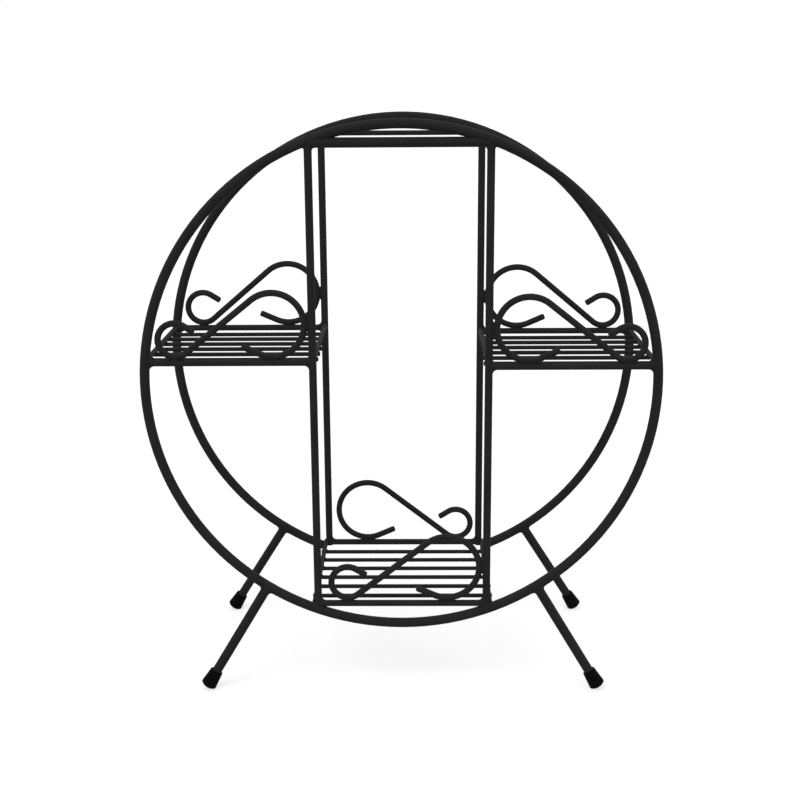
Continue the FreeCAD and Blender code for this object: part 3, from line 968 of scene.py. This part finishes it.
@dataclass(kw_only=True)
class BottomShelf(Shelf):
    """The shelf between the lower ends of the uprights."""

    @classmethod
    def on(cls, ring_frame: RingFrame, sizes: StandSizes = SIZES) -> "BottomShelf":
        """Work out the bottom shelf's places.

        Args:
            ring_frame: The frame that carries it.
            sizes: The stand's sizes.

        Returns:
            The shelf.
        """
        face = sizes.upright_offset - sizes.upright_bar / 2
        gaps = {
            Plane.FRONT: (sizes.scroll_clearance, sizes.front_small_loop_gap),
            Plane.REAR: (sizes.rear_big_loop_gap, sizes.rear_small_loop_gap),
        }
        loops: dict[Plane, tuple[float, float]] = {}
        for plane, (big_gap, small_gap) in gaps.items():
            big = face - big_gap - sizes.scroll_bar / 2 - sizes.bottom_big_loop_radius
            small = face - small_gap - sizes.scroll_bar / 2 - sizes.small_loop_radius
            loops[plane] = (-plane.value * big, plane.value * small)
        x = sizes.upright_offset + sizes.bottom_spreader_shift
        return cls(
            label="bottom_shelf",
            rail_z=sizes.bottom_rail_z,
            spreader_xs=(-x, x),
            spreader_labels=("left", "right"),
            loops=loops,
            ring_frame=ring_frame,
            sizes=sizes,
        )

    def fillets(self) -> list[Weld]:
        """The rails' fillets on the uprights, of which the rear ones end flush with the rail's underside.

        Returns:
            Two fillets for each frame.
        """
        sizes = self.sizes
        lowest = {Plane.FRONT: -math.inf, Plane.REAR: self.rail_z - sizes.rail_bar / 2}
        found: list[Weld] = []
        for plane, hand in product(Plane, Hand):
            point = (0.0, sizes.plane_y(plane), self.rail_z)
            rail = Rod(point, (-hand.value, 0.0, 0.0), sizes.rail_bar / 2)
            upright = self.ring_frame.upright_rod(plane, hand)
            found.append(Fillet(rail, upright, self.rail_leg, lowest[plane]))
        return found

    def tacks(self) -> list[Weld]:
        """The bead between the front scroll's big loop and the right upright.

        Returns:
            The one bead.
        """
        sizes = self.sizes
        x = sizes.upright_offset - sizes.upright_bar / 2 - sizes.scroll_clearance / 2
        z = self.rail_z + sizes.scroll_seat + sizes.bottom_big_loop_radius
        return [Bead((x, sizes.plane_y(Plane.FRONT), z), self.tack_halves)]


@dataclass(kw_only=True)
class Legs(SubAssembly):
    """The four legs and their rubber feet.

    Attributes:
        ring_frame: The frame that they carry.
        leg: Leg of the weld fillets.
        sizes: The stand's sizes.
    """

    ring_frame: RingFrame
    leg: float = 5 * MM
    sizes: StandSizes = SIZES

    def welds(self) -> list[Weld]:
        """The legs' fillets on the undersides of the rings.

        Returns:
            One fillet for each leg.
        """
        sizes = self.sizes
        lean, splay = math.radians(sizes.leg_lean), math.radians(sizes.leg_splay)
        offset = sizes.ring_radius * math.sin(math.radians(sizes.leg_position))
        found: list[Weld] = []
        for plane, hand in product(Plane, Hand):
            root = (hand.value * offset, sizes.plane_y(plane), sizes.leg_height)
            down = (hand.value * math.tan(lean), plane.value * math.tan(splay), -1.0)
            ring = self.ring_frame.ring_rod(plane, root[0], root[2])
            found.append(Fillet(Rod(root, down, sizes.leg_bar / 2), ring, self.leg))
        return found

    def build(self, finishes: Finishes) -> list[bpy.types.Object]:
        """Make the legs' welds in place of the plain beads.

        Args:
            finishes: The stand's materials.

        Returns:
            The one piece.
        """
        piece = new_piece("leg_weld_fillets", self.welds(), finishes.coat)
        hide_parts("leg_welds")
        return [piece]

    def dress(self, finishes: Finishes) -> list[bpy.types.Object]:
        """Coat the legs and give the feet their rubber.

        Args:
            finishes: The stand's materials.

        Returns:
            Their nodes.
        """
        names = [f"{plane.label}_{hand.label}" for plane, hand in product(Plane, Hand)]
        legs = dress_nodes([f"{name}_leg" for name in names], finishes.coat)
        return legs + dress_nodes([f"{name}_foot" for name in names], finishes.rubber)


@dataclass(frozen=True)
class Lamp:
    """A soft lamp, far away.

    Attributes:
        strength: Its strength.
        softness: Its width in degrees.
        azimuth: Its direction in degrees, from the front round to the right.
        elevation: Its height over the floor in degrees.
    """

    strength: float
    softness: float
    azimuth: float
    elevation: float

    def build(self, name: str) -> None:
        """Hang the lamp.

        Args:
            name: The lamp's name.
        """
        lamp = bpy.data.lights.new(name, "SUN")
        lamp.energy = self.strength
        lamp.angle = math.radians(self.softness)
        holder = bpy.data.objects.new(name, lamp)
        around, up = math.radians(self.azimuth), math.radians(self.elevation)
        place = Vector((math.sin(around) * math.cos(up), -math.cos(around) * math.cos(up), math.sin(up)))
        holder.rotation_euler = place.to_track_quat("Z", "Y").to_euler()
        bpy.context.scene.collection.objects.link(holder)


@dataclass(frozen=True)
class Studio:
    """White floor and surroundings, soft light and the camera.

    Attributes:
        floor_half: Half the floor's side.
        floor_tone: How much light the floor gives back.
        floor_glow: What is added to the floor where it is seen, so that it is white where no shadow falls.
        ambient: Strength of the light from all round.
        backdrop: Strength of the surroundings where they are seen.
        lamps: The lamps.
        camera_place: The camera's place.
        camera_turn: The camera's yaw, pitch down and roll in degrees.
        lens: Focal length in millimetres.
        sensor: Width of the square picture on the sensor in millimetres.
    """

    floor_half: float = 30.0
    floor_tone: float = 0.42
    floor_glow: float = 0.62
    ambient: float = 0.55
    backdrop: float = 1.0
    lamps: tuple[Lamp, ...] = (
        Lamp(1.3, 40.0, -40.0, 52.0),
        Lamp(0.6, 60.0, 55.0, 38.0),
        Lamp(0.5, 60.0, 170.0, 45.0),
    )
    camera_place: Triple = (0.0192, -1.6142, 0.7652)
    camera_turn: Triple = (-0.773, 14.57, 0.37)
    lens: float = 57.79
    sensor: float = 36.0

    @staticmethod
    def seen(tree: bpy.types.NodeTree) -> bpy.types.NodeSocket:
        """Take the largest of the light path's camera, glossy and transmission outputs.

        Args:
            tree: The nodes of the material or the surroundings.

        Returns:
            A socket that is 1 where the surface is seen straight, in a reflection or through glass.
        """
        path = tree.nodes.new("ShaderNodeLightPath")
        total = path.outputs["Is Camera Ray"]
        for name in ("Is Glossy Ray", "Is Transmission Ray"):
            most = tree.nodes.new("ShaderNodeMath")
            most.operation = "MAXIMUM"
            tree.links.new(total, most.inputs[0])
            tree.links.new(path.outputs[name], most.inputs[1])
            total = most.outputs[0]
        return total

    def build(self) -> None:
        """Set up floor, surroundings, lamps and camera."""
        self.build_floor()
        self.build_world()
        for number, lamp in enumerate(self.lamps, start=1):
            lamp.build(f"lamp_{number}")
        self.build_camera()
        bpy.context.scene.view_settings.view_transform = "Standard"

    def floor_material(self) -> bpy.types.Material:
        """Make the floor's material: pale and dull, with a glow that is only seen.

        Returns:
            The new material.
        """
        material = bpy.data.materials.new("pale_floor")
        material.use_nodes = True
        tree = material.node_tree
        tree.nodes.clear()
        dull = tree.nodes.new("ShaderNodeBsdfDiffuse")
        dull.inputs["Color"].default_value = (self.floor_tone, self.floor_tone, self.floor_tone, OPAQUE)
        level = tree.nodes.new("ShaderNodeMath")
        level.operation = "MULTIPLY"
        level.inputs[1].default_value = self.floor_glow
        tree.links.new(self.seen(tree), level.inputs[0])
        glow = tree.nodes.new("ShaderNodeEmission")
        tree.links.new(level.outputs[0], glow.inputs["Strength"])
        both = tree.nodes.new("ShaderNodeAddShader")
        tree.links.new(dull.outputs[0], both.inputs[0])
        tree.links.new(glow.outputs[0], both.inputs[1])
        output = tree.nodes.new("ShaderNodeOutputMaterial")
        tree.links.new(both.outputs[0], output.inputs["Surface"])
        return material

    def build_floor(self) -> None:
        """Lay the floor as one square face."""
        half = self.floor_half
        corners = [(-half, -half, 0), (half, -half, 0), (half, half, 0), (-half, half, 0)]
        mesh = bpy.data.meshes.new("floor")
        mesh.from_pydata(corners, [], [(0, 1, 2, 3)])
        mesh.materials.append(self.floor_material())
        floor = bpy.data.objects.new("floor", mesh)
        bpy.context.scene.collection.objects.link(floor)

    def build_world(self) -> None:
        """Surround the stand with even light that is seen as white."""
        world = bpy.data.worlds.new("studio")
        world.use_nodes = True
        bpy.context.scene.world = world
        tree = world.node_tree
        background = tree.nodes["Background"]
        background.inputs["Color"].default_value = (1.0, 1.0, 1.0, OPAQUE)
        level = tree.nodes.new("ShaderNodeMapRange")
        level.inputs["To Min"].default_value = self.ambient
        level.inputs["To Max"].default_value = self.backdrop
        tree.links.new(self.seen(tree), level.inputs["Value"])
        tree.links.new(level.outputs["Result"], background.inputs["Strength"])

    def build_camera(self) -> None:
        """Put the camera where the photograph was taken from."""
        yaw, pitch, roll = (math.radians(angle) for angle in self.camera_turn)
        ahead = Vector((math.sin(yaw) * math.cos(pitch), math.cos(yaw) * math.cos(pitch), -math.sin(pitch)))
        right = Vector((math.cos(yaw), -math.sin(yaw), 0.0))
        down = ahead.cross(right)
        rolled_right = math.cos(roll) * right + math.sin(roll) * down
        rolled_down = -math.sin(roll) * right + math.cos(roll) * down
        turn = Matrix((rolled_right, -rolled_down, -ahead)).transposed()
        camera = bpy.data.cameras.new("camera")
        camera.lens = self.lens
        camera.sensor_width = self.sensor
        holder = bpy.data.objects.new("camera", camera)
        holder.matrix_world = Matrix.Translation(self.camera_place) @ turn.to_4x4()
        bpy.context.scene.collection.objects.link(holder)
        bpy.context.scene.camera = holder


def main() -> None:
    """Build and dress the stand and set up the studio."""
    logging.basicConfig(level=logging.INFO, format="%(name)s: %(message)s")
    finishes = Finishes(PowderCoat().material(), MouldedRubber().material())
    ring_frame = RingFrame()
    groups: list[SubAssembly] = [ring_frame]
    groups += [SideShelf.on(hand, ring_frame) for hand in Hand]
    groups += [BottomShelf.on(ring_frame), Legs(ring_frame=ring_frame)]
    for group in groups:
        for piece in group.build(finishes):
            log.info("piece %s: %d faces", piece.name, len(piece.data.polygons))
        for node in group.dress(finishes):
            log.info("node %s: %s", node.name, node.active_material.name)
    Studio().build()


if __name__ == "__main__":
    main()
